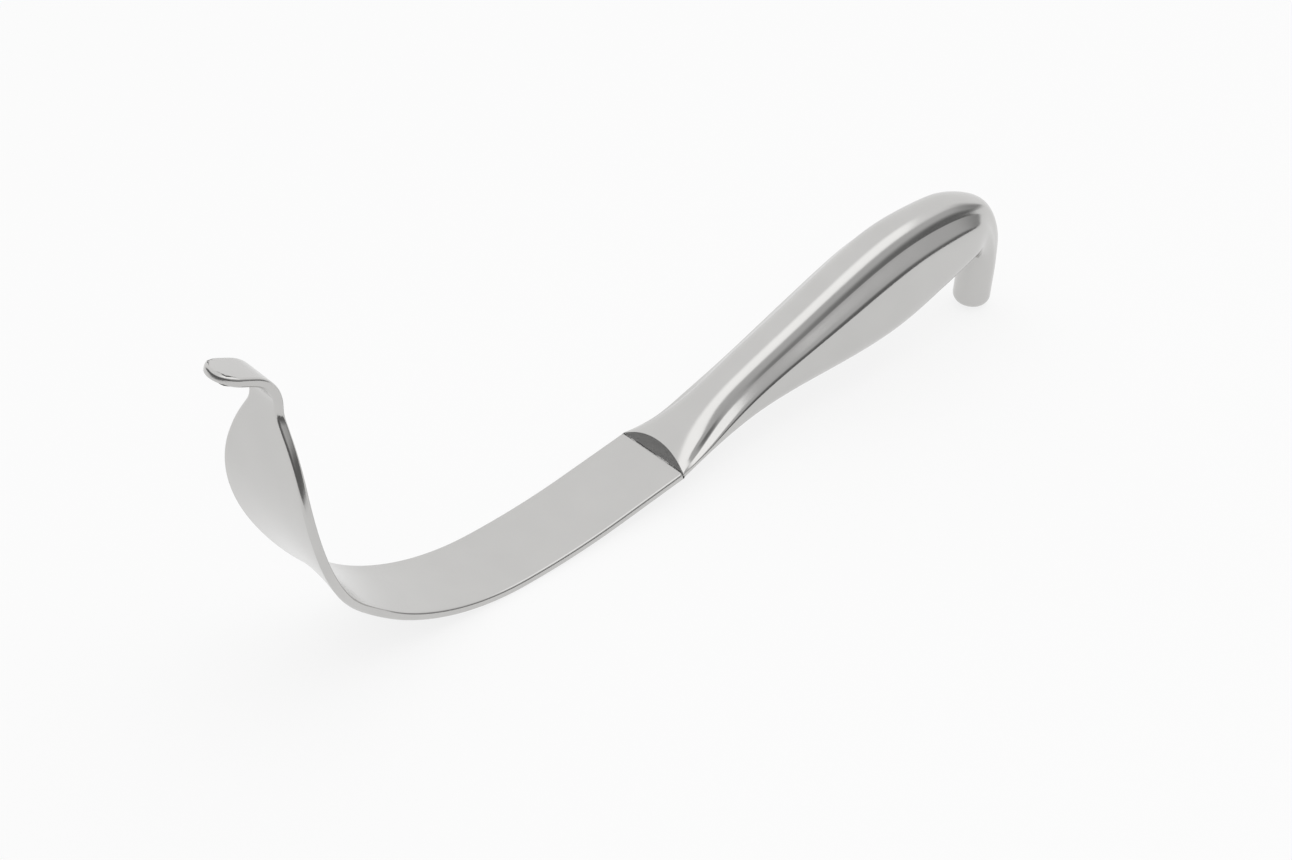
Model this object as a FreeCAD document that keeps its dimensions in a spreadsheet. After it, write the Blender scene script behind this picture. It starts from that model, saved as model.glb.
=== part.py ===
import FreeCAD
import Part

import math
import os

import Sketcher

V = FreeCAD.Vector
DEGREE = math.pi / 180.0

# Driving dimensions, in millimetres and degrees
DIMENSIONS = [
    ("strip_width", 25.4, "width of the flat strip, one inch"),
    ("strip_thickness", 2.4, "thickness of strip, blade and lip"),
    ("edge_break", 0.5, "narrow bevel that breaks the edges of strip, blade and lip"),
    ("strip_run", 23.0, "straight part of the strip, from the shoulder towards the blade"),
    ("strip_radius", 213.5, "slow bend of the strip, inner face, down to its lowest point"),
    ("strip_sweep", 9.1, "angle of that slow bend"),
    ("heel_radius", 71.8, "inner radius where the strip starts to turn up"),
    ("heel_sweep", 27.1, "angle of that first turn"),
    ("blade_radius", 56.5, "inner radius of the curved blade"),
    ("blade_sweep", 69.9, "angle of the curved blade"),
    ("neck_run", 17.4, "straight part of the blade below the lip"),
    ("lip_radius", 10.7, "upper radius where the lip turns outwards"),
    ("lip_sweep", 73.5, "angle through which the lip turns outwards"),
    ("lip_run", 8.8, "straight part of the lip, to its round end"),
    ("lip_width", 11.6, "width of the lip, and of the neck below it"),
    ("hood_start", 15.3, "height at which the blade starts to widen"),
    ("hood_entry_radius", 25.0, "hollow curve that leads into the hood"),
    ("hood_spread", 19.0, "angle at which the hood widens"),
    ("hood_run", 6.8, "straight part of the hood's lower edge"),
    ("hood_radius", 54.0, "lower curve of the hood, up to its widest point"),
    ("hood_top_radius", 53.0, "upper curve of the hood, above its widest point"),
    ("hood_closing", 36.0, "angle at which the hood narrows"),
    ("neck_radius", 5.0, "hollow curve of the outline at the neck"),
    ("hood_hollow", 1.45, "depth of the hollow across the outer side of the hood"),
    ("hollow_start", 18.0, "from the start of the heel to where the hollow begins"),
    ("hollow_length", 100.0, "length of the hollow, measured along the blade"),
    ("shoulder_lean", 17.0, "lean of the half-moon shoulder towards the grip"),
    ("shoulder_rise", 3.65, "height of the half-moon shoulder above the strip"),
    ("shoulder_chord", 24.8, "width of the half-moon shoulder at its foot"),
    ("seat", 0.05, "how far the grip's foot stands proud of the strip all round"),
    ("handle_length", 124.0, "from the foot of the shoulder to the start of the hook's bend"),
    ("hook_offset", 9.3, "from the finger's foot back to the centre of the hook's bend"),
    ("hook_height", 9.8, "centre of the hook's bend above the foot of the shoulder"),
    ("finger_radius", 5.85, "radius of the round finger"),
    ("finger_round", 3.5, "rounding at the finger's end"),
    ("finger_shift", 0.5, "the finger's foot, outwards from the end of the handle's length"),
    ("finger_lean", 4.5, "lean of the finger, away from the grip as it rises"),
    ("finger_length", 13.5, "from the finger's end up to its root"),
]

# The grip's cross-sections. Place is a share of the handle's length. Crest and underside
# are heights above the foot of the shoulder. Flute and lower shoulder are given by
# their half widths and their depths below the crest, and the underside by its half width.
# The last three are the corner radii of flute, lower shoulder and underside.
SECTION_SIZES = ["place", "crest", "under", "flute_half", "flute_depth", "side_half",
                 "side_depth", "under_half", "flute_round", "side_round", "under_round"]
GRIP_SECTIONS = {
    "collar": [0.085, 6.9, -0.9, 9.8, 4.6, 11.3, 5.6, 11.0, 0.8, 1.0, 1.4],
    "throat": [0.160, 11.1, 0.4, 8.4, 6.0, 10.4, 7.4, 10.0, 1.2, 1.6, 2.2],
    "neck": [0.250, 15.8, 1.7, 7.2, 7.2, 9.8, 8.9, 9.5, 1.6, 2.2, 3.2],
    "waist": [0.415, 23.4, 2.6, 7.3, 8.0, 10.4, 9.9, 9.9, 1.8, 2.6, 5.0],
    "swell": [0.575, 30.9, 3.4, 7.5, 8.4, 11.1, 10.5, 10.6, 2.0, 3.2, 7.0],
    "palm": [0.735, 36.6, 5.6, 7.7, 8.6, 11.4, 10.7, 10.8, 2.0, 3.6, 8.0],
    "heel": [0.880, 37.6, 10.4, 7.0, 7.5, 10.8, 9.0, 10.2, 2.4, 3.8, 8.0],
}
# The hook's cross-sections turn about the centre of its bend. Their place is the angle
# from the upright, and crest and underside are distances from that centre.
HOOK_SECTIONS = {
    "bend_start": [0.0, 24.8, 4.5, 6.0, 5.6, 9.2, 7.2, 8.7, 3.6, 4.2, 7.0],
    "bend_upper": [25.0, 21.6, 4.5, 5.6, 4.2, 7.8, 8.0, 7.4, 6.0, 5.0, 6.0],
    "bend_middle": [50.0, 18.8, 4.8, 5.4, 4.0, 6.7, 7.2, 6.5, 6.0, 5.0, 5.6],
    "bend_lower": [74.0, 17.4, 5.3, 5.1, 3.8, 6.0, 6.3, 5.9, 6.0, 5.0, 5.8],
}

# A section's outline is four smooth curves: over the top, down a side, under and up again.
# These are the curves' numbers of spans: half of the top, a side, and half of the underside.
SPANS = [7, 2, 2]
# Angles from the finger's outer side at which its circle is split into such curves
FINGER_SPLITS = [0, 84, 130, 180]

# The document and its sheet of sizes
doc = FreeCAD.newDocument("retractor")
sheet = doc.addObject("Spreadsheet::Sheet", "sizes")
rows = list(DIMENSIONS)
for name, values in list(GRIP_SECTIONS.items()) + list(HOOK_SECTIONS.items()):
    for what, value in zip(SECTION_SIZES, values):
        rows.append((name + "_" + what, value, name.replace("_", " ") + " section"))
for row, (alias, value, note) in enumerate(rows, start=1):
    sheet.set("A%d" % row, note)
    sheet.set("B%d" % row, str(value))
    sheet.setAlias("B%d" % row, alias)
doc.recompute()


def size(alias):
    return float(sheet.get(alias))


# Sketches and the chains of tangent lines and arcs drawn in them
def newSketch(body, name, role, offset=None):
    sketch = body.newObject("Sketcher::SketchObject", name)
    plane = [item for item in body.Origin.OriginFeatures if item.Role == role][0]
    sketch.AttachmentSupport = [(plane, "")]
    sketch.MapMode = "FlatFace"
    if offset:
        sketch.AttachmentOffset = offset
    return sketch


def turned(point, centre, angle):
    arm = point - centre
    return centre + V(arm.x * math.cos(angle) - arm.y * math.sin(angle),
                      arm.x * math.sin(angle) + arm.y * math.cos(angle), 0)


def follow(start, heading, pieces, side=0.0):
    """Lines and arcs that run on from each other, drawn at a distance to the left."""
    segments = []
    place = V(start)
    for piece in pieces:
        ahead = V(math.cos(heading), math.sin(heading), 0)
        left = V(-ahead.y, ahead.x, 0)
        if piece[0] == "line":
            end = place + ahead * piece[1]
            segments.append(Part.LineSegment(place + left * side, end + left * side))
        else:
            angle = piece[2] * DEGREE
            sign = math.copysign(1.0, angle)
            centre = place + left * (piece[1] * sign)
            end = turned(place, centre, angle)
            reach = 1.0 - side * sign / piece[1]
            ends = [centre + (point - centre) * reach
                    for point in (place, turned(place, centre, angle / 2.0), end)]
            segments.append(Part.ArcOfCircle(*ends))
            heading += angle
        place = end
    return segments, place, heading


def startOf(segment):
    return segment.value(segment.FirstParameter)


def endOf(segment):
    return segment.value(segment.LastParameter)


def mirrored(segments):
    """The same pieces on the other side of the sketch's upright axis, in reverse order."""
    other = []
    for segment in reversed(segments):
        middle = segment.value((segment.FirstParameter + segment.LastParameter) / 2.0)
        points = [V(-p.x, p.y, 0) for p in (segment.EndPoint, middle, segment.StartPoint)]
        if isinstance(segment, Part.LineSegment):
            other.append(Part.LineSegment(points[0], points[2]))
        else:
            other.append(Part.ArcOfCircle(*points))
    return other


def join(sketch, segments, closing):
    """Draws the pieces, and straight lines through the closing points between their ends."""
    for segment in segments:
        sketch.addGeometry(segment, False)
    for start, end in zip(closing, closing[1:]):
        sketch.addGeometry(Part.LineSegment(start, end), False)


def bindRadii(sketch, aliases):
    """Ties each arc's radius to its size in the sheet."""
    for index, expression in aliases:
        radius = sketch.Geometry[index].Radius
        sketch.addConstraint(Sketcher.Constraint("Radius", index, radius))
        sketch.setExpression("Constraints[%d]" % (sketch.ConstraintCount - 1), expression)


body = doc.addObject("PartDesign::Body", "retractor")
body.Label = "retractor"

# Side view of the flat strip, from the shoulder's foot to its lowest point
thick = size("strip_thickness")
sweep = size("strip_sweep") * DEGREE
footX = -size("handle_length") - size("hook_offset")
footZ = (thick + size("strip_radius") * (1.0 - math.cos(sweep))
         + size("strip_run") * math.sin(sweep))
foot = V(footX, footZ, 0)
strip = [
    ("line", size("strip_run")),
    ("arc", size("strip_radius"), -size("strip_sweep")),
]
startHeading = math.pi + sweep
inner, heelStart, heelHeading = follow(foot, startHeading, strip)
outer, _, _ = follow(foot, startHeading, strip, thick)
lean = size("shoulder_lean") * DEGREE
leanDirection = V(math.sin(lean), math.cos(lean), 0)
underFoot = foot - leanDirection * (thick / math.cos(lean + sweep))
outer[0] = Part.LineSegment(underFoot, outer[0].EndPoint)

sideView = newSketch(body, "side_view", "XZ_Plane")
join(sideView, inner + outer, [])
join(sideView, [], [foot, underFoot])
join(sideView, [], [inner[-1].EndPoint, outer[-1].EndPoint])
bindRadii(sideView, [(1, "sizes.strip_radius"),
                     (3, "sizes.strip_radius + sizes.strip_thickness")])

slab = body.newObject("PartDesign::Pad", "strip")
slab.Profile = sideView
slab.Length = size("strip_width")
slab.setExpression("Length", "sizes.strip_width")
slab.Midplane = True

# Path of the blade, from the strip up to the lip, and how finely its pieces are divided
bladePath = [
    (("arc", size("heel_radius"), -size("heel_sweep")), 4),
    (("arc", size("blade_radius"), -size("blade_sweep")), 8),
    (("line", size("neck_run")), 3),
]
_, lipStart, lipHeading = follow(heelStart, heelHeading, [piece for piece, _ in bladePath])

# Side view of the lip, and its round end
lip = [("arc", size("lip_radius"), size("lip_sweep")), ("line", size("lip_run"))]
lipInner, lipEnd, endHeading = follow(lipStart, lipHeading, lip)
lipOuter, _, _ = follow(lipStart, lipHeading, lip, thick)
lipSide = newSketch(body, "lip_side_view", "XZ_Plane")
join(lipSide, lipInner + lipOuter, [])
join(lipSide, [], [lipStart, lipOuter[0].StartPoint])
join(lipSide, [], [lipEnd, lipOuter[-1].EndPoint])
bindRadii(lipSide, [(0, "sizes.lip_radius"), (2, "sizes.lip_radius - sizes.strip_thickness")])
lipPad = body.newObject("PartDesign::Pad", "lip")
lipPad.Profile = lipSide
lipPad.Length = size("lip_width")
lipPad.setExpression("Length", "sizes.lip_width")
lipPad.Midplane = True
doc.recompute()

lipHalf = size("lip_width") / 2.0
lipPlane = FreeCAD.Placement(V(lipEnd.x, 0, lipEnd.y),
                             FreeCAD.Rotation(V(0, 1, 0), (math.pi - endHeading) / DEGREE))
lipView = newSketch(body, "lip_view", "XY_Plane", lipPlane)
aside = 2.0 * lipHalf
join(lipView, [Part.ArcOfCircle(V(lipHalf, -lipHalf, 0), V(0, 0, 0), V(lipHalf, lipHalf, 0))],
     [])
join(lipView, [], [V(lipHalf, lipHalf, 0), V(lipHalf, aside, 0), V(-aside, aside, 0),
                   V(-aside, -aside, 0), V(lipHalf, -aside, 0), V(lipHalf, -lipHalf, 0)])
bindRadii(lipView, [(0, "sizes.lip_width / 2")])
lipCut = body.newObject("PartDesign::Pocket", "lip_end")
lipCut.Profile = lipView
lipCut.Type = "ThroughAll"
lipCut.Midplane = True
doc.recompute()


# The narrow bevel along every edge between a broad face and a side of strip and lip
def longEdges(shape):
    """Only broad faces have no short edge. The straight edges across the strip stay."""
    names = []
    broad = [face for face in shape.Faces
             if all(edge.Length > 1.2 * thick for edge in face.Edges)]
    for number, edge in enumerate(shape.Edges, start=1):
        touching = [face for face in broad if any(edge.isSame(other) for other in face.Edges)]
        across = (edge.Vertexes[-1].Point - edge.Vertexes[0].Point).normalize()
        if len(touching) == 1 and abs(across.y) < 0.99:
            names.append("Edge%d" % number)
    return names


bevel = size("edge_break")
beveled = body.newObject("PartDesign::Chamfer", "edge_bevels")
beveled.Base = (lipCut, longEdges(lipCut.Shape))
beveled.Size = bevel
beveled.setExpression("Size", "sizes.edge_break")
doc.recompute()

# Front view of the hood: one side of its outline, from the strip's width to the lip's
halfStrip = size("strip_width") / 2.0
hood = [
    ("line", size("hood_start")),
    ("arc", size("hood_entry_radius"), -size("hood_spread")),
    ("line", size("hood_run")),
    ("arc", size("hood_radius"), size("hood_spread")),
    ("arc", size("hood_top_radius"), size("hood_closing")),
]
right, hoodEnd, _ = follow(V(halfStrip, 0, 0), math.pi / 2, hood)
closing = size("hood_closing") * DEGREE
neckWidening = size("neck_radius") * (1.0 - math.cos(closing))
taper = max(0.5, (hoodEnd.x - lipHalf - neckWidening) / math.sin(closing))
right, neckTop, _ = follow(V(halfStrip, 0, 0), math.pi / 2, hood + [
    ("line", taper),
    ("arc", size("neck_radius"), -size("hood_closing")),
])
frontView = newSketch(body, "front_view", "YZ_Plane")
join(frontView, right + mirrored(right), [])
join(frontView, [], [neckTop, V(-neckTop.x, neckTop.y, 0)])
join(frontView, [], [V(-halfStrip, 0, 0), V(halfStrip, 0, 0)])
bindRadii(frontView, [(1, "sizes.hood_entry_radius"), (3, "sizes.hood_radius"),
                      (4, "sizes.hood_top_radius"), (6, "sizes.neck_radius")])


def halfWidth(height):
    """Half the blade's width at a height, read from the front view."""
    level = Part.LineSegment(V(0, height, 0), V(2 * size("strip_width"), height, 0))
    for piece in right:
        if piece.StartPoint.y <= height <= piece.EndPoint.y:
            return piece.intersectCC(level)[0].X
    return lipHalf if height > neckTop.y else halfStrip


def pathPoints():
    """Point, heading and distance along the path at each division, and close to its ends."""
    place, heading, along = V(heelStart), heelHeading, 0.0
    points = [(place, heading, along)]
    for number, (piece, parts) in enumerate(bladePath):
        length = piece[1] if piece[0] == "line" else piece[1] * abs(piece[2]) * DEGREE
        shares = [(step + 1.0) / parts for step in range(parts)]
        if number == 0:
            shares = [thick / 2.0 / length] + shares
        if number == len(bladePath) - 1:
            shares = shares[:-1] + [1.0 - thick / 2.0 / length, 1.0]
        for share in shares:
            part = piece[:-1] + (piece[-1] * share,)
            _, point, turnedTo = follow(place, heading, [part])
            points.append((point, turnedTo, along + length * share))
        place, heading, along = points[-1]
    return points


def hollowAt(along):
    """Depth of the hollow, which rises and falls smoothly along the blade."""
    share = (along - size("hollow_start")) / size("hollow_length")
    if not 0.0 < share < 1.0:
        return 0.0
    return size("hood_hollow") * math.sin(math.pi * share) ** 2


def across(before, middle, after):
    """A face's line in a cross-section: an arc where it is hollow, and otherwise straight."""
    if abs(middle.y - (before.y + after.y) / 2.0) < 0.02:
        return Part.LineSegment(before, after)
    return Part.ArcOfCircle(before, middle, after)


def bladeSection(half, hollow):
    """The blade's cross-section, with bevelled edges, round the middle of its inner face."""
    tilt = 2.0 * math.atan(hollow / half)
    level = V(math.cos(tilt), -math.sin(tilt), 0)
    down = V(-math.sin(tilt), -math.cos(tilt), 0)
    edge = V(half, 0, 0)
    corners = [edge - level * bevel, edge + down * bevel, edge + down * (thick - bevel),
               edge + down * thick - level * bevel]
    side = [Part.LineSegment(start, end) for start, end in zip(corners, corners[1:])]
    other = mirrored(side)
    outerFace = across(corners[-1], V(0, hollow - thick, 0), other[0].StartPoint)
    innerFace = across(other[-1].EndPoint, V(0, hollow, 0), corners[0])
    return side + [outerFace] + other + [innerFace]


bladeSections = []
for number, (point, heading, along) in enumerate(pathPoints()):
    half = halfWidth(point.y)
    offset = FreeCAD.Placement(V(0, point.y, point.x),
                               FreeCAD.Rotation(V(1, 0, 0), 180.0 - heading / DEGREE))
    section = newSketch(body, "blade_section_%02d" % number, "YZ_Plane", offset)
    join(section, bladeSection(half, hollowAt(along)), [])
    bladeSections.append(section)
blade = body.newObject("PartDesign::AdditiveLoft", "blade")
blade.Profile = bladeSections[0]
blade.Sections = bladeSections[1:]
doc.recompute()


# Cross-sections of the grip: a crowned rail, a flute, a lower shoulder and a round underside
def cornerArc(before, corner, after, radius):
    """The arc that rounds a corner, or a short line where the corner is nearly straight."""
    toBefore = (before - corner).normalize()
    toAfter = (after - corner).normalize()
    turn = math.pi - toBefore.getAngle(toAfter)
    reach = min((before - corner).Length, (after - corner).Length) * 0.48
    if turn < 2.0 * DEGREE:
        reach = min(reach, 0.3)
        return Part.LineSegment(corner + toBefore * reach, corner + toAfter * reach)
    reach = min(reach, radius * math.tan(turn / 2.0))
    radius = reach / math.tan(turn / 2.0)
    inward = (toBefore + toAfter).normalize()
    centre = corner + inward * math.hypot(radius, reach)
    middle = centre - inward * radius
    return Part.ArcOfCircle(corner + toBefore * reach, middle, corner + toAfter * reach)


def gripHalf(crest, under, fluteHalf, fluteDepth, sideHalf, sideDepth, underHalf,
             fluteRound, sideRound, underRound):
    """One side of a cross-section, from the middle of its crest to the middle below."""
    flute = V(fluteHalf, crest - fluteDepth, 0)
    side = V(sideHalf, crest - sideDepth, 0)
    corner = V(underHalf, under, 0)
    bottom = V(0, under, 0)
    railRadius = 0.975 * (fluteHalf ** 2 + fluteDepth ** 2) / (2.0 * fluteDepth)
    centre = V(0, crest - railRadius, 0)
    arm = flute - centre
    angle = math.atan2(arm.y, arm.x) + math.acos(railRadius / arm.Length)
    onRail = [centre + V(math.cos(turn), math.sin(turn), 0) * railRadius
              for turn in (angle, (angle + math.pi / 2) / 2)]
    rail = Part.ArcOfCircle(V(0, crest, 0), onRail[1], onRail[0])
    arcs = [rail,
            cornerArc(onRail[0], flute, side, fluteRound),
            cornerArc(flute, side, corner, sideRound),
            cornerArc(side, corner, bottom, underRound)]
    segments = []
    for arc, following in zip(arcs, arcs[1:]):
        segments += [arc, Part.LineSegment(endOf(arc), startOf(following))]
    segments += [arcs[-1], Part.LineSegment(endOf(arcs[-1]), bottom)]
    return segments


def pointAlong(chain, distance):
    """Point of a chain of lines and arcs, and its direction there."""
    for segment in chain:
        length = segment.length()
        if distance <= length or segment is chain[-1]:
            first, last = segment.FirstParameter, segment.LastParameter
            place = first + (last - first) * min(1.0, distance / length)
            return segment.value(place), segment.tangent(place)[0]
        distance -= length


def smoothCurve(chain, start, end, spans):
    """Evenly spaced points of a part of the chain, with its directions at both ends."""
    steps = [start + (end - start) * step / spans for step in range(spans + 1)]
    found = [pointAlong(chain, step) for step in steps]
    return [point for point, _ in found], found[0][1], found[-1][1]


def flipped(curve):
    """The same curve on the other side of the upright axis, in reverse order."""
    points, first, last = curve
    return ([V(-p.x, p.y, 0) for p in reversed(points)], V(last.x, -last.y, 0),
            V(first.x, -first.y, 0))


def joined(before, after):
    return before[0] + after[0][1:], before[1], after[2]


def drawOutline(sketch, chain, corners):
    """Draws a section from its right half, which is split at two distances along it."""
    total = sum(segment.length() for segment in chain)
    top = smoothCurve(chain, 0.0, corners[0], SPANS[0])
    side = smoothCurve(chain, corners[0], corners[1], SPANS[1])
    below = smoothCurve(chain, corners[1], total, SPANS[2])
    for points, first, last in (side, joined(below, flipped(below)), flipped(side),
                                joined(flipped(top), top)):
        places = [float(step) for step in range(len(points))]
        curve = Part.BSplineCurve()
        curve.interpolate(Points=points, Parameters=places, InitialTangent=first,
                          FinalTangent=last)
        sketch.addGeometry(curve, False)


def sectionSketch(name, centre, turn, values):
    """A cross-section in an upright plane, turned forwards about a level axis."""
    offset = FreeCAD.Placement(V(0, centre.y, centre.x),
                               FreeCAD.Rotation(V(1, 0, 0), turn / DEGREE))
    sketch = newSketch(body, name, "YZ_Plane", offset)
    chain = gripHalf(*values)
    lengths = [segment.length() for segment in chain]
    corners = [sum(lengths[:4]) + lengths[4] / 2.0, sum(lengths[:6]) + lengths[6] / 2.0]
    drawOutline(sketch, chain, corners)
    return sketch


def sectionSizes(name):
    return [size(name + "_" + what) for what in SECTION_SIZES]


chordHalf = size("shoulder_chord") / 2.0
proud = halfStrip + size("seat")
rise = size("shoulder_rise")
footDepth = -(foot - underFoot).Length - size("seat")
sections = [sectionSketch("shoulder", foot, lean, [
    rise, footDepth, chordHalf, rise + bevel * 0.12, proud, rise + bevel, proud,
    0.3, 0.3, bevel])]
for name in GRIP_SECTIONS:
    values = sectionSizes(name)
    centre = foot + V(values[0] * size("handle_length"), 0, 0)
    sections.append(sectionSketch(name + "_section", centre, 0.0, values[1:]))
bend = V(-size("hook_offset"), footZ + size("hook_height"), 0)
for name in HOOK_SECTIONS:
    values = sectionSizes(name)
    sections.append(sectionSketch(name + "_section", bend, values[0] * DEGREE, values[1:]))

# The finger is round. Its axis leans, and it starts at the middle of its rounded end's edge.
finger = size("finger_radius")
fingerRound = size("finger_round")
fingerLean = size("finger_lean") * DEGREE
flatRadius = finger - fingerRound
fingerFoot = V(size("finger_shift"), fingerRound + flatRadius * math.sin(fingerLean), 0)
fingerRun = size("finger_length") - fingerRound

# The last section is a circle square to that axis, and a hair proud of the finger
proudFinger = finger + 0.4 * size("seat")
half = []
for start, end in zip(FINGER_SPLITS, FINGER_SPLITS[1:]):
    points = [V(math.sin(angle * DEGREE), math.cos(angle * DEGREE), 0) * proudFinger
              for angle in (start, (start + end) / 2.0, end)]
    half.append(Part.ArcOfCircle(*points))
root = fingerFoot + V(math.sin(fingerLean), math.cos(fingerLean), 0) * fingerRun
rootOffset = FreeCAD.Placement(V(0, root.y, root.x),
                               FreeCAD.Rotation(V(1, 0, 0), 90.0 + size("finger_lean")))
fingerRoot = newSketch(body, "finger_root", "YZ_Plane", rootOffset)
drawOutline(fingerRoot, half, [half[0].length(), half[0].length() + half[1].length()])
sections.append(fingerRoot)

grip = body.newObject("PartDesign::AdditiveLoft", "grip")
grip.Profile = sections[0]
grip.Sections = sections[1:]
doc.recompute()

# The finger itself, from its root down to its rounded end
axisOffset = FreeCAD.Placement(V(fingerFoot.x, fingerFoot.y, 0),
                               FreeCAD.Rotation(V(0, 0, 1), -size("finger_lean")))
fingerView = newSketch(body, "finger_view", "XZ_Plane", axisOffset)
roundCentre = V(flatRadius, 0, 0)
edge = Part.ArcOfCircle(roundCentre + V(0, -fingerRound, 0),
                        roundCentre + V(math.sin(math.pi / 4), -math.cos(math.pi / 4), 0)
                        * fingerRound,
                        roundCentre + V(fingerRound, 0, 0))
join(fingerView, [edge], [V(finger, 0, 0), V(finger, fingerRun, 0), V(0, fingerRun, 0),
                          V(0, -fingerRound, 0), V(flatRadius, -fingerRound, 0)])
bindRadii(fingerView, [(0, "sizes.finger_round")])
domed = body.newObject("PartDesign::Revolution", "finger")
domed.Profile = fingerView
domed.ReferenceAxis = (fingerView, ["V_Axis"])
domed.Angle = 360.0
doc.recompute()

# Every object must have worked out before anything is written
for item in doc.Objects:
    if "Invalid" in item.State or "Error" in item.State:
        raise RuntimeError("%s is %s" % (item.Name, item.State))
    if item.isDerivedFrom("PartDesign::Feature") or item is body:
        if item.Shape.isNull() or not item.Shape.isValid():
            raise RuntimeError("%s has no sound shape" % item.Name)
        print(item.Name, round(item.Shape.Volume, 1), len(item.Shape.Faces))
if len(body.Shape.Solids) != 1:
    raise RuntimeError("the retractor is not one solid")

# The origin is the middle of the underside of the bounding box
box = body.Shape.optimalBoundingBox(False, False)
body.Placement = FreeCAD.Placement(V(-box.Center.x, 0, -box.ZMin), FreeCAD.Rotation())
doc.recompute()
print("box", body.Shape.optimalBoundingBox(False, False), "shift", body.Placement.Base)

os.makedirs("parts", exist_ok=True)
body.Shape.exportStep("parts/retractor.step")
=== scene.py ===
import bisect
import math

import bmesh
import bpy
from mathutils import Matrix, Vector


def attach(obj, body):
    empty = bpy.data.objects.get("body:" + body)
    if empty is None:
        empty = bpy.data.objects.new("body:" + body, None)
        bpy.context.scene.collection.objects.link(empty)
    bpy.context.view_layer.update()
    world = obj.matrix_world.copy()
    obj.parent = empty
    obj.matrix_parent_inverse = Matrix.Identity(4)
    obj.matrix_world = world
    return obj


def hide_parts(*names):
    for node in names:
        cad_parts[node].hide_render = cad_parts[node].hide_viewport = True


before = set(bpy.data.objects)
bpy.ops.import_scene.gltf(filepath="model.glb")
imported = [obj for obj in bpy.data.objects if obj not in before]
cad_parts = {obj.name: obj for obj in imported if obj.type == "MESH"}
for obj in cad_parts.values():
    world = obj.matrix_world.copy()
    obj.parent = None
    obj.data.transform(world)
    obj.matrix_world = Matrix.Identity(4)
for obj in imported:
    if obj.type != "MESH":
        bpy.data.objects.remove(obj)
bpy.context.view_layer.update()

scene = bpy.context.scene


# small helpers for shader nodes

def addNode(tree, kind, x, y, **settings):
    node = tree.nodes.new(kind)
    node.location = (x, y)
    for name, value in settings.items():
        setattr(node, name, value)
    return node


def newMaterial(name):
    material = bpy.data.materials.new(name)
    material.use_nodes = True
    material.node_tree.nodes.clear()
    return material, material.node_tree


def newGroup(name, inputs, outputs):
    group = bpy.data.node_groups.new(name, "ShaderNodeTree")
    for label, socketType, default in inputs:
        socket = group.interface.new_socket(label, in_out="INPUT", socket_type=socketType)
        if default is not None:
            socket.default_value = default
    for label, socketType in outputs:
        group.interface.new_socket(label, in_out="OUTPUT", socket_type=socketType)
    start = addNode(group, "NodeGroupInput", -900, 0)
    end = addNode(group, "NodeGroupOutput", 700, 0)
    return group, start, end


# shared effects

grainLook = {
    "fineDetail": 2.0,
    "cloudDetail": 3.0,
    "share": 0.5,                    # of each noise in the sum that sets the roughness
    "sumLow": 0.45,
    "sumHigh": 1.05,
}


# fine even grain of a satin finish, left by blasting and a light brush
def makeSatinGrain():
    group, start, end = newGroup(
        "satinGrain",
        [("Vector", "NodeSocketVector", None),
         ("Grain Scale", "NodeSocketFloat", 2600.0),
         ("Cloud Scale", "NodeSocketFloat", 38.0),
         ("Roughness Low", "NodeSocketFloat", 0.30),
         ("Roughness High", "NodeSocketFloat", 0.36)],
        [("Roughness", "NodeSocketFloat"), ("Height", "NodeSocketFloat"),
         ("Cloud", "NodeSocketFloat")])
    grain = addNode(group, "ShaderNodeTexNoise", -600, 200)
    grain.inputs["Detail"].default_value = grainLook["fineDetail"]
    cloud = addNode(group, "ShaderNodeTexNoise", -600, -150)
    cloud.inputs["Detail"].default_value = grainLook["cloudDetail"]
    mixed = addNode(group, "ShaderNodeMath", -300, 0, operation="MULTIPLY_ADD")
    mixed.inputs[1].default_value = grainLook["share"]
    spread = addNode(group, "ShaderNodeMapRange", 0, 0)
    spread.inputs["From Min"].default_value = grainLook["sumLow"]
    spread.inputs["From Max"].default_value = grainLook["sumHigh"]
    halfGrain = addNode(group, "ShaderNodeMath", -450, -20, operation="MULTIPLY")
    halfGrain.inputs[1].default_value = grainLook["share"]
    link = group.links.new
    link(start.outputs["Vector"], grain.inputs["Vector"])
    link(start.outputs["Vector"], cloud.inputs["Vector"])
    link(start.outputs["Grain Scale"], grain.inputs["Scale"])
    link(start.outputs["Cloud Scale"], cloud.inputs["Scale"])
    link(grain.outputs["Fac"], halfGrain.inputs[0])
    link(cloud.outputs["Fac"], mixed.inputs[0])
    link(halfGrain.outputs[0], mixed.inputs[2])
    link(mixed.outputs[0], spread.inputs["Value"])
    link(start.outputs["Roughness Low"], spread.inputs["To Min"])
    link(start.outputs["Roughness High"], spread.inputs["To Max"])
    link(spread.outputs["Result"], end.inputs["Roughness"])
    link(grain.outputs["Fac"], end.inputs["Height"])
    link(cloud.outputs["Fac"], end.inputs["Cloud"])
    return group


satinGrain = makeSatinGrain()
print("node groups ready")


# materials

steelLook = {
    "colour": (0.580, 0.574, 0.564, 1.0),
    "darkColour": (0.535, 0.530, 0.521, 1.0),
    "roughnessLow": 0.17,
    "roughnessHigh": 0.22,
    "grainScale": 4600.0,
    "cloudScale": 90.0,
    "bumpStrength": 0.22,
    "bumpDistance": 0.00003,
}


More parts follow.
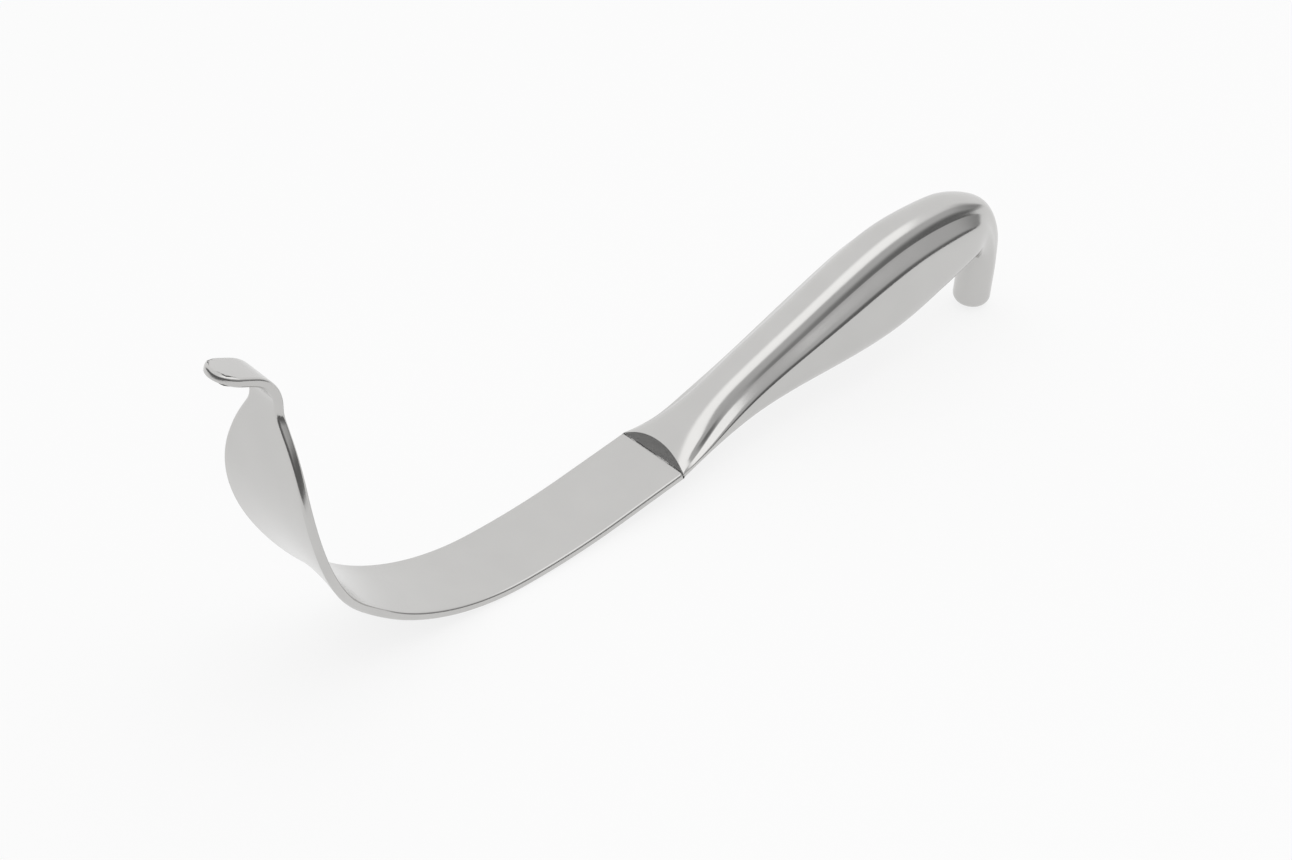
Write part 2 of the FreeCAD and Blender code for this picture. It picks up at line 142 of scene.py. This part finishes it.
def makeSatinSteel(look):
    material, tree = newMaterial("satinSteel")
    place = addNode(tree, "ShaderNodeTexCoord", -1100, 0)
    satin = addNode(tree, "ShaderNodeGroup", -800, 0, node_tree=satinGrain)
    satin.inputs["Grain Scale"].default_value = look["grainScale"]
    satin.inputs["Cloud Scale"].default_value = look["cloudScale"]
    satin.inputs["Roughness Low"].default_value = look["roughnessLow"]
    satin.inputs["Roughness High"].default_value = look["roughnessHigh"]
    tone = addNode(tree, "ShaderNodeMix", -450, 200, data_type="RGBA")
    tone.inputs[6].default_value = look["darkColour"]
    tone.inputs[7].default_value = look["colour"]
    bump = addNode(tree, "ShaderNodeBump", -450, -200)
    bump.inputs["Strength"].default_value = look["bumpStrength"]
    bump.inputs["Distance"].default_value = look["bumpDistance"]
    shader = addNode(tree, "ShaderNodeBsdfPrincipled", -150, 0)
    shader.inputs["Metallic"].default_value = 1.0
    output = addNode(tree, "ShaderNodeOutputMaterial", 200, 0)
    link = tree.links.new
    link(place.outputs["Object"], satin.inputs["Vector"])
    link(satin.outputs["Cloud"], tone.inputs[0])
    link(tone.outputs[2], shader.inputs["Base Color"])
    link(satin.outputs["Roughness"], shader.inputs["Roughness"])
    link(satin.outputs["Height"], bump.inputs["Height"])
    link(bump.outputs["Normal"], shader.inputs["Normal"])
    link(shader.outputs["BSDF"], output.inputs["Surface"])
    return material


# a matt white that the camera and the steel's reflections see as a lit white table
def makeTableWhite(colour, roughness, glow):
    material, tree = newMaterial("tableWhite")
    link = tree.links.new
    shader = addNode(tree, "ShaderNodeBsdfPrincipled", 0, 0)
    shader.inputs["Base Color"].default_value = colour
    shader.inputs["Roughness"].default_value = roughness
    shader.inputs["Specular IOR Level"].default_value = 0.0
    lightPath = addNode(tree, "ShaderNodeLightPath", -500, 300)
    seen = addNode(tree, "ShaderNodeMath", -300, 300, operation="MAXIMUM")
    link(lightPath.outputs["Is Camera Ray"], seen.inputs[0])
    link(lightPath.outputs["Is Glossy Ray"], seen.inputs[1])
    share = addNode(tree, "ShaderNodeMath", -100, 300, operation="MULTIPLY")
    share.inputs[1].default_value = glow
    link(seen.outputs[0], share.inputs[0])
    white = addNode(tree, "ShaderNodeEmission", 0, -450)
    mixed = addNode(tree, "ShaderNodeMixShader", 300, 0)
    link(share.outputs[0], mixed.inputs[0])
    link(shader.outputs["BSDF"], mixed.inputs[1])
    link(white.outputs["Emission"], mixed.inputs[2])
    output = addNode(tree, "ShaderNodeOutputMaterial", 500, 0)
    link(mixed.outputs["Shader"], output.inputs["Surface"])
    return material


satinSteel = makeSatinSteel(steelLook)
print("materials ready")


# the retractor: one forging, a bent strip that swells into a fluted grip

bladeShape = {                       # millimetres and degrees, from the foot of the grip's shoulder
    "foot": (-4.429, 8.724),         # x and height of that foot
    "heading": 189.1,
    "tucked": 0.3,                   # how far the strip runs on inside the grip
    "path": [(0, 23.0), (213.5, -9.1), (71.8, -27.1), (56.5, -69.9), (0, 17.4),
             (10.7, 73.5), (0, 3.0)],        # radius and turn, or 0 and a straight length
    "halfWidth": 12.7,
    "outline": [(0, 15.3), (25.0, -19.0), (0, 6.8), (54.0, 19.0), (53.0, 36.0)],
    "neckRadius": 5.0,
    "lipHalf": 5.8,
    "lipRows": 6,
    "hollowDepth": 1.45,
    "hollowStart": 74.9,             # along the path
    "hollowLength": 100.0,
    "thickness": 2.4,
    "edgeRound": 0.85,
    "edgeSteps": 4,
    "edgeTurn": 60.0,                # edges that turn by more than this are rounded
    "rowStep": 1.25,
    "outlineStep": 0.2,
    "columns": 12,
}


# points along a path of arcs and straight lengths, each with its heading and distance
def traceRuns(place, heading, runs, step):
    x, z = place
    found = [(x, z, heading, 0.0)]
    along = 0.0
    for radius, amount in runs:
        length = radius * math.radians(abs(amount)) if radius else amount
        count = max(1, math.ceil(length / step))
        turn = math.radians(amount) / count if radius else 0.0
        stride = 2.0 * radius * math.sin(abs(turn) / 2.0) if radius else length / count
        for _ in range(count):
            heading += turn / 2.0
            x += stride * math.cos(heading)
            z += stride * math.sin(heading)
            heading += turn / 2.0
            along += length / count
            found.append((x, z, heading, along))
    return found


# the half width against the height, with a straight taper that meets the lip's neck
def frontOutline(shape):
    step = shape["outlineStep"]
    hood = traceRuns((shape["halfWidth"], 0.0), math.pi / 2, shape["outline"], step)
    closing = math.radians(shape["outline"][-1][1])
    widening = shape["neckRadius"] * (1.0 - math.cos(closing))
    taper = (hood[-1][0] - shape["lipHalf"] - widening) / math.sin(closing)
    runs = shape["outline"] + [(0, taper), (shape["neckRadius"], -shape["outline"][-1][1])]
    return traceRuns((shape["halfWidth"], 0.0), math.pi / 2, runs, step)


def widthAt(outline, height, beyond):
    for low, high in zip(outline, outline[1:]):
        if low[1] <= height <= high[1]:
            share = (height - low[1]) / (high[1] - low[1])
            return low[0] + (high[0] - low[0]) * share
    return beyond


# a flat grid laid along the path, hollowed, thickened and rounded at its edges
def addBlade(bm, shape):
    heading = math.radians(shape["heading"])
    ahead = Vector((math.cos(heading), math.sin(heading)))
    start = Vector(shape["foot"]) - ahead * shape["tucked"]
    runs = [(0, shape["tucked"])] + shape["path"]
    rows = traceRuns(start, heading, runs, shape["rowStep"])
    outline = frontOutline(shape)
    lipRows, columns = shape["lipRows"], shape["columns"]
    made = bmesh.ops.create_grid(bm, x_segments=len(rows) - 1 + lipRows, y_segments=columns,
                                 size=1.0)
    for vert in made["verts"]:
        number = round((vert.co.x + 1.0) / 2.0 * (len(rows) - 1 + lipRows))
        side = vert.co.y
        x, z, turned, along = rows[min(number, len(rows) - 1)]
        reach = 0.0
        width = widthAt(outline, z, shape["lipHalf"])
        if number >= len(rows):          # the round end of the lip
            further = (number - len(rows) + 1) / lipRows
            reach = shape["lipHalf"] * further * math.sqrt(1.0 - side * side / 2.0)
            width = shape["lipHalf"] * math.sqrt(1.0 - further * further / 2.0)
        share = (along - shape["hollowStart"]) / shape["hollowLength"]
        hollow = 0.0
        if 0.0 < share < 1.0:
            hollow = shape["hollowDepth"] * math.sin(math.pi * share) ** 2
        rise = hollow * (1.0 - side * side)
        vert.co = (x + reach * math.cos(turned) + rise * math.sin(turned), side * width,
                   z + reach * math.sin(turned) - rise * math.cos(turned))
    faces = list(bm.faces)
    bmesh.ops.recalc_face_normals(bm, faces=faces)
    flat = min(faces, key=lambda face: face.calc_center_median().z)
    if flat.normal.z < 0.0:
        bmesh.ops.reverse_faces(bm, faces=faces)
    bmesh.ops.solidify(bm, geom=faces, thickness=shape["thickness"])
    bmesh.ops.recalc_face_normals(bm, faces=list(bm.faces))
    sharp = math.radians(shape["edgeTurn"])
    rims = [edge for edge in bm.edges if edge.calc_face_angle(0.0) > sharp]
    bmesh.ops.bevel(bm, geom=rims, offset=shape["edgeRound"], offset_type="OFFSET",
                    segments=shape["edgeSteps"], profile=0.5, affect="EDGES", material=-1,
                    clamp_overlap=False)


# each section: place, crest, underside, half width and depth of the flute, of the lower
# shoulder, half width of the underside, and the rounding of flute, shoulder and underside
gripShape = {
    "foot": (-4.429, 8.724),
    "length": 124.0,
    "shoulderLean": 26.3,
    "shoulder": (0.0, 3.82, -2.6, 12.4, 3.88, 12.75, 4.32, 12.75, 0.3, 0.3, 0.5),
    "sections": {
        "collar": (0.085, 6.9, -0.9, 9.2, 4.5, 11.1, 5.7, 11.0, 0.6, 0.9, 1.4),
        "throat": (0.160, 11.1, 0.4, 7.4, 4.3, 10.4, 6.4, 10.0, 1.0, 1.8, 2.2),
        "neck": (0.250, 15.8, 1.7, 6.9, 4.2, 10.0, 6.9, 9.5, 1.2, 3.0, 3.2),
        "waist": (0.415, 23.4, 2.6, 7.0, 4.5, 10.6, 7.6, 9.9, 1.4, 3.6, 5.0),
        "swell": (0.575, 30.9, 3.4, 7.3, 4.9, 11.5, 8.7, 10.6, 1.6, 5.0, 7.0),
        "palm": (0.735, 36.6, 5.6, 7.5, 5.2, 11.7, 9.3, 10.8, 1.8, 5.0, 8.0),
        "heel": (0.880, 37.6, 10.4, 7.0, 5.2, 10.7, 9.4, 10.2, 2.2, 4.6, 8.0),
    },
    "brows": {"collar": (8.2, 3.0)},     # where a steeper flank starts below the crown
    "bendCentre": (119.571, 18.524),
    "bend": {                        # place is the turn about that centre, in degrees
        "start": (0.0, 24.8, 4.5, 6.4, 4.6, 9.4, 8.4, 8.7, 3.4, 4.6, 7.0),
        "upper": (25.0, 21.6, 4.5, 5.5, 3.9, 7.8, 8.1, 7.4, 6.0, 5.0, 6.0),
        "middle": (50.0, 18.8, 4.8, 5.4, 4.0, 6.7, 7.2, 6.5, 6.0, 5.0, 5.6),
        "lower": (74.0, 17.4, 5.3, 5.1, 3.8, 6.0, 6.3, 5.9, 6.0, 5.0, 5.8),
    },
    "fingerFoot": (129.371, 3.686),
    "fingerLean": 4.5,
    "fingerRun": 10.0,
    "fingerRadius": 5.85,
    "fingerRound": 3.5,
    "fingerSplits": (0.0, 58.0, 84.0, 130.0, 180.0),
    "fingerDepths": (0.0, 0.35, 0.7, 1.0),
    "fingerSteps": 8,
    "shoulderEdge": 0.22,
    "shoulderReach": 8.0,
    "spans": (14, 10, 10, 8),        # steps over the crown, flute, side and half the underside
    "crowding": 1.5,                 # how much closer the steps are beside the flute
    "rowStep": 1.1,
    "doubleGap": 0.0001,
}

sectionRules = {
    "shareBefore": 0.66,             # the most of a straight leg that a rounded corner takes
    "shareAfter": 0.48,
    "straightTurn": 2.0,
    "straightReach": 0.3,
    "cornerSteps": 16,
    "crownSteps": 40,
    "crownShare": 0.975,             # of the radius at which the crown would end in the flute
    "browRound": 1.2,
}


# a rounded corner between two straight legs
def roundCorner(before, corner, after, radius):
    toBefore = (before - corner).normalized()
    toAfter = (after - corner).normalized()
    turn = math.pi - toBefore.angle(toAfter)
    reach = min((before - corner).length * sectionRules["shareBefore"],
                (after - corner).length * sectionRules["shareAfter"])
    if turn < math.radians(sectionRules["straightTurn"]):
        reach = min(reach, sectionRules["straightReach"])
        return [corner + toBefore * reach, corner, corner + toAfter * reach]
    reach = min(reach, radius * math.tan(turn / 2.0))
    radius = reach / math.tan(turn / 2.0)
    centre = corner + (toBefore + toAfter).normalized() * math.hypot(radius, reach)
    first = corner + toBefore * reach - centre
    last = corner + toAfter * reach - centre
    angle = math.atan2(first.cross(last), first.dot(last))
    points = []
    steps = sectionRules["cornerSteps"]
    for step in range(steps + 1):
        part = angle * step / steps
        points.append(centre + Vector((
            first.x * math.cos(part) - first.y * math.sin(part),
            first.x * math.sin(part) + first.y * math.cos(part))))
    return points


# one half of a cross-section as a fine chain of points, and where its corners are
def halfSection(values, brow=None):
    (crest, under, fluteHalf, fluteDepth, sideHalf, sideDepth, underHalf,
     fluteRound, sideRound, underRound) = values
    flute = Vector((fluteHalf, crest - fluteDepth))
    side = Vector((sideHalf, crest - sideDepth))
    corner = Vector((underHalf, under))
    bottom = Vector((0.0, under))
    foot = Vector((brow[0], crest - brow[1])) if brow else flute
    radius = (sectionRules["crownShare"] * (foot.x ** 2 + (crest - foot.y) ** 2)
              / (2.0 * (crest - foot.y)))
    centre = Vector((0.0, crest - radius))
    arm = foot - centre
    angle = math.atan2(arm.y, arm.x) + math.acos(min(1.0, radius / arm.length))
    chain = []
    steps = sectionRules["crownSteps"]
    for step in range(steps + 1):
        turn = math.pi / 2 + (angle - math.pi / 2) * step / steps
        chain.append(centre + Vector((math.cos(turn), math.sin(turn))) * radius)
    if brow:
        chain += roundCorner(chain[-1], foot, flute, sectionRules["browRound"])
    marks = []
    for before, point, after, rounding in ((chain[-1], flute, side, fluteRound),
                                           (flute, side, corner, sideRound),
                                           (side, corner, bottom, underRound)):
        rounded = roundCorner(before, point, after, rounding)
        marks.append(len(chain) + len(rounded) // 2)
        chain += rounded
    chain.append(bottom)
    return chain, [0] + marks + [len(chain) - 1]


# the chain's points at even steps between its corners, closer together near the flute
def spreadPoints(chain, marks, spans):
    lengths = [0.0]
    for before, after in zip(chain, chain[1:]):
        lengths.append(lengths[-1] + (after - before).length)
    found = []
    for part, (first, last) in enumerate(zip(marks, marks[1:])):
        for step in range(spans[part]):
            share = step / spans[part]
            if part == 0:
                share = 1.0 - (1.0 - share) ** gripShape["crowding"]
            elif part == 2:
                share = share ** gripShape["crowding"]
            target = lengths[first] + (lengths[last] - lengths[first]) * share
            number = max(0, min(bisect.bisect_right(lengths, target) - 1, len(chain) - 2))
            gap = lengths[number + 1] - lengths[number]
            inside = (target - lengths[number]) / gap if gap > 0.0 else 0.0
            found.append(chain[number].lerp(chain[number + 1], inside))
    return found + [chain[-1]]


# a section's ring, turned forwards by an angle about a level line through its centre
def placeRing(half, centre, turn):
    ring = half + [Vector((-point.x, point.y)) for point in reversed(half[1:-1])] + [half[0]]
    return [Vector((centre[0] + point.y * math.sin(turn), point.x,
                    centre[1] + point.y * math.cos(turn))) for point in ring]


# the rings that the grip's surface runs through, from the shoulder to the finger's end
def gripRings(shape):
    footX, footZ = shape["foot"]
    rings = []
    values = shape["shoulder"]
    half = spreadPoints(*halfSection(values[1:]), shape["spans"])
    rings.append(placeRing(half, (footX, footZ), math.radians(shape["shoulderLean"])))
    for name, values in shape["sections"].items():
        half = spreadPoints(*halfSection(values[1:], shape["brows"].get(name)), shape["spans"])
        rings.append(placeRing(half, (footX + values[0] * shape["length"], footZ), 0.0))
    for values in shape["bend"].values():
        half = spreadPoints(*halfSection(values[1:]), shape["spans"])
        rings.append(placeRing(half, shape["bendCentre"], math.radians(values[0])))
    for depth in shape["fingerDepths"]:
        rings.append(fingerRing(shape, shape["fingerRadius"],
                                shape["fingerRun"] * (1.0 - depth)))
    return rings


# a round ring square to the finger's axis, at a height above the edge of its rounded end
def fingerRing(shape, radius, height):
    half = []
    splits = shape["fingerSplits"]
    for part, (first, last) in enumerate(zip(splits, splits[1:])):
        for step in range(shape["spans"][part]):
            turn = math.radians(first + (last - first) * step / shape["spans"][part])
            half.append(Vector((math.sin(turn), math.cos(turn))) * radius)
    half.append(Vector((0.0, -radius)))
    lean = math.radians(shape["fingerLean"])
    centre = (shape["fingerFoot"][0] + math.sin(lean) * height,
              shape["fingerFoot"][1] + math.cos(lean) * height)
    return placeRing(half, centre, math.pi / 2 + lean)


# second derivatives of the smooth curve that goes through values at uneven places
def curveBends(places, values):
    count = len(places)
    bends, eased = [values[0] * 0.0] * count, [values[0] * 0.0] * count
    carried = [0.0] * count
    for i in range(1, count - 1):
        before, after = places[i] - places[i - 1], places[i + 1] - places[i]
        slope = (values[i + 1] - values[i]) / after - (values[i] - values[i - 1]) / before
        weight = 2.0 * (before + after) - before * carried[i - 1]
        carried[i] = after / weight
        eased[i] = (slope * 6.0 - eased[i - 1] * before) / weight
    for i in range(count - 2, 0, -1):
        bends[i] = eased[i] - bends[i + 1] * carried[i]
    return bends


def curveValue(places, values, bends, place):
    i = max(0, min(bisect.bisect_right(places, place) - 1, len(places) - 2))
    gap = places[i + 1] - places[i]
    a, b = (places[i + 1] - place) / gap, (place - places[i]) / gap
    return (values[i] * a + values[i + 1] * b
            + (bends[i] * (a ** 3 - a) + bends[i + 1] * (b ** 3 - b)) * gap * gap / 6.0)


# evenly spaced rows along the grip, with a narrow edge first and the finger's dome last
def gripRows(shape):
    rings = gripRings(shape)
    places = [0.0]
    for before, after in zip(rings, rings[1:]):
        gaps = [(q - p).length for p, q in zip(before, after)]
        places.append(places[-1] + sum(gaps) / len(gaps))
    columns = list(zip(*rings))
    bends = [curveBends(places, column) for column in columns]
    steps = math.ceil(places[-1] / shape["rowStep"])
    stops = [shape["shoulderEdge"]] + [places[-1] * step / steps for step in range(1, steps + 1)]
    rows = [[curveValue(places, column, bend, stop) for column, bend in zip(columns, bends)]
            for stop in stops]
    centre = Vector((shape["foot"][0], 0.0, shape["foot"][1]))
    shrunk = 1.0 - shape["shoulderEdge"] / shape["shoulderReach"]
    rows.insert(0, [centre + (point - centre) * shrunk for point in rings[0]])
    for step in range(1, shape["fingerSteps"] + 1):
        turn = math.pi / 2 * step / shape["fingerSteps"]
        radius = shape["fingerRadius"] - shape["fingerRound"] * (1.0 - math.cos(turn))
        rows.append(fingerRing(shape, radius, -shape["fingerRound"] * math.sin(turn)))
    return rows


# a grid rolled into a tube along the rows, joined at its seam and closed at its ends
def addGrip(bm, shape):
    rows = gripRows(shape)
    around = len(rows[0]) - 1
    made = bmesh.ops.create_grid(bm, x_segments=len(rows) - 1, y_segments=around, size=1.0)
    for vert in made["verts"]:
        row = round((vert.co.x + 1.0) / 2.0 * (len(rows) - 1))
        column = round((vert.co.y + 1.0) / 2.0 * around)
        vert.co = rows[row][column]
    bmesh.ops.remove_doubles(bm, verts=made["verts"], dist=shape["doubleGap"])
    ends = [edge for edge in bm.edges if edge.is_boundary]
    bmesh.ops.holes_fill(bm, edges=ends, sides=0)
    bmesh.ops.recalc_face_normals(bm, faces=list(bm.faces))


# a hair under full size, so that the piece stays inside the solid's box
millimetre = 0.0009997


def makeRetractor():
    mesh = bpy.data.meshes.new("retractorSteel")
    bm = bmesh.new()
    addBlade(bm, bladeShape)
    grip = bmesh.new()
    addGrip(grip, gripShape)
    gripMesh = bpy.data.meshes.new("grip")
    grip.to_mesh(gripMesh)
    grip.free()
    bm.from_mesh(gripMesh)
    bpy.data.meshes.remove(gripMesh)
    for face in bm.faces:
        face.smooth = True
    bmesh.ops.scale(bm, verts=bm.verts, vec=(millimetre, millimetre, millimetre))
    bm.to_mesh(mesh)
    bm.free()
    piece = bpy.data.objects.new("retractorSteel", mesh)
    scene.collection.objects.link(piece)
    return piece


steelPiece = makeRetractor()
steelPiece.data.materials.append(satinSteel)
evenNormals = steelPiece.modifiers.new("evenNormals", "WEIGHTED_NORMAL")
evenNormals.mode = "FACE_AREA_WITH_ANGLE"
evenNormals.keep_sharp = True
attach(steelPiece, "root")
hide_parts("retractor")
print("retractor ready:", len(steelPiece.data.polygons), "faces")


# floor, lights and camera

studio = {
    "floorSize": 6.0,
    "floorColour": (0.93, 0.93, 0.93, 1.0),
    "floorRoughness": 0.9,
    "floorGlow": 0.8,
    "lampCentre": (0.11, -0.48, 1.42),
    "lampLength": 2.02,
    "lampWidth": 0.84,
    "lampPower": 2.6,
    "skyLight": 1.0,
    "shadeLight": 0.62,
    "roomLight": 0.16,
    # each zone of the surroundings: its direction, and where it starts and is full
    "belowLamp": ((0.0, -0.829, -0.559), -0.02, 0.06),
    "lowNearSide": ((0.0, -0.500, -0.866), -0.05, 0.20),
    "pastLamp": ((1.0, 0.0, 0.0), 0.66, 1.20),       # so it never gets fully dark there
    "nearHalf": ((0.0, -0.951, -0.309), -0.05, 0.10),
    "leftRoom": ((-1.0, 0.0, 0.0), 0.12, 0.42),
    "lowDown": ((0.0, 0.0, -1.0), -0.62, -0.42),
}


def makeFloor():
    bm = bmesh.new()
    bmesh.ops.create_grid(bm, x_segments=1, y_segments=1, size=studio["floorSize"] / 2)
    mesh = bpy.data.meshes.new("floor")
    bm.to_mesh(mesh)
    bm.free()
    floor = bpy.data.objects.new("floor", mesh)
    scene.collection.objects.link(floor)
    mesh.materials.append(makeTableWhite(studio["floorColour"], studio["floorRoughness"],
                                         studio["floorGlow"]))


def makeStripLamp():
    light = bpy.data.lights.new("stripLamp", "AREA")
    light.shape = "RECTANGLE"
    light.size = studio["lampLength"]
    light.size_y = studio["lampWidth"]
    light.energy = studio["lampPower"]
    lamp = bpy.data.objects.new("stripLamp", light)
    scene.collection.objects.link(lamp)
    centre = Vector(studio["lampCentre"])
    lamp.location = centre
    lamp.rotation_euler = (math.atan2(-centre.y, centre.z), 0.0, 0.0)


# white overhead and on the far side, with a dark room low down on the near side and the left
def makeWorld():
    world = bpy.data.worlds.new("studioWorld")
    scene.world = world
    world.use_nodes = True
    tree = world.node_tree
    tree.nodes.clear()
    link = tree.links.new
    place = addNode(tree, "ShaderNodeTexCoord", -1500, 0)

    def zone(name, x, y):
        direction, low, high = studio[name]
        reach = addNode(tree, "ShaderNodeVectorMath", x, y, operation="DOT_PRODUCT")
        reach.inputs[1].default_value = direction
        link(place.outputs["Generated"], reach.inputs[0])
        soft = addNode(tree, "ShaderNodeMapRange", x + 200, y, interpolation_type="SMOOTHSTEP")
        soft.inputs["From Min"].default_value = low
        soft.inputs["From Max"].default_value = high
        link(reach.outputs["Value"], soft.inputs["Value"])
        return soft.outputs["Result"]

    def combine(operation, first, second, x, y):
        both = addNode(tree, "ShaderNodeMath", x, y, operation=operation)
        link(first, both.inputs[0])
        link(second, both.inputs[1])
        return both.outputs[0]

    beyond = combine("MULTIPLY", zone("pastLamp", -1250, 200), zone("nearHalf", -1250, 0),
                     -800, 100)
    left = combine("MULTIPLY", zone("leftRoom", -1250, -250), zone("lowDown", -1250, -450),
                   -800, -350)
    room = combine("MAXIMUM", zone("lowNearSide", -1250, 450), beyond, -600, 200)
    room = combine("MAXIMUM", room, left, -400, 0)
    shaded = addNode(tree, "ShaderNodeMix", -200, 300, data_type="FLOAT")
    shaded.inputs[2].default_value = studio["skyLight"]
    shaded.inputs[3].default_value = studio["shadeLight"]
    link(zone("belowLamp", -1250, 700), shaded.inputs[0])
    strength = addNode(tree, "ShaderNodeMix", -200, 0, data_type="FLOAT")
    strength.inputs[3].default_value = studio["roomLight"]
    link(room, strength.inputs[0])
    link(shaded.outputs[0], strength.inputs[2])
    background = addNode(tree, "ShaderNodeBackground", 0, 0)
    background.inputs["Color"].default_value = (1.0, 1.0, 1.0, 1.0)
    output = addNode(tree, "ShaderNodeOutputWorld", 250, 0)
    lightPath = addNode(tree, "ShaderNodeLightPath", -400, -300)
    seen = addNode(tree, "ShaderNodeMath", -200, -300, operation="MAXIMUM")
    link(strength.outputs[0], seen.inputs[0])
    link(lightPath.outputs["Is Camera Ray"], seen.inputs[1])
    link(seen.outputs[0], background.inputs["Strength"])
    link(background.outputs["Background"], output.inputs["Surface"])


cameraPlace = {
    "location": (-0.32236, -0.35386, 0.37391),
    "azimuth": -41.70,
    "elevation": 36.92,
    "lens": 60.0,
    "sensor": 36.0,
    "clip": (0.01, 50.0),
}


def makeCamera():
    data = bpy.data.cameras.new("camera")
    data.lens = cameraPlace["lens"]
    data.sensor_width = cameraPlace["sensor"]
    data.clip_start, data.clip_end = cameraPlace["clip"]
    camera = bpy.data.objects.new("camera", data)
    scene.collection.objects.link(camera)
    camera.location = cameraPlace["location"]
    camera.rotation_euler = (math.radians(90.0 - cameraPlace["elevation"]), 0.0,
                             math.radians(cameraPlace["azimuth"]))
    scene.camera = camera


makeFloor()
makeStripLamp()
makeWorld()
makeCamera()
scene.view_settings.view_transform = "Standard"
print("studio ready")
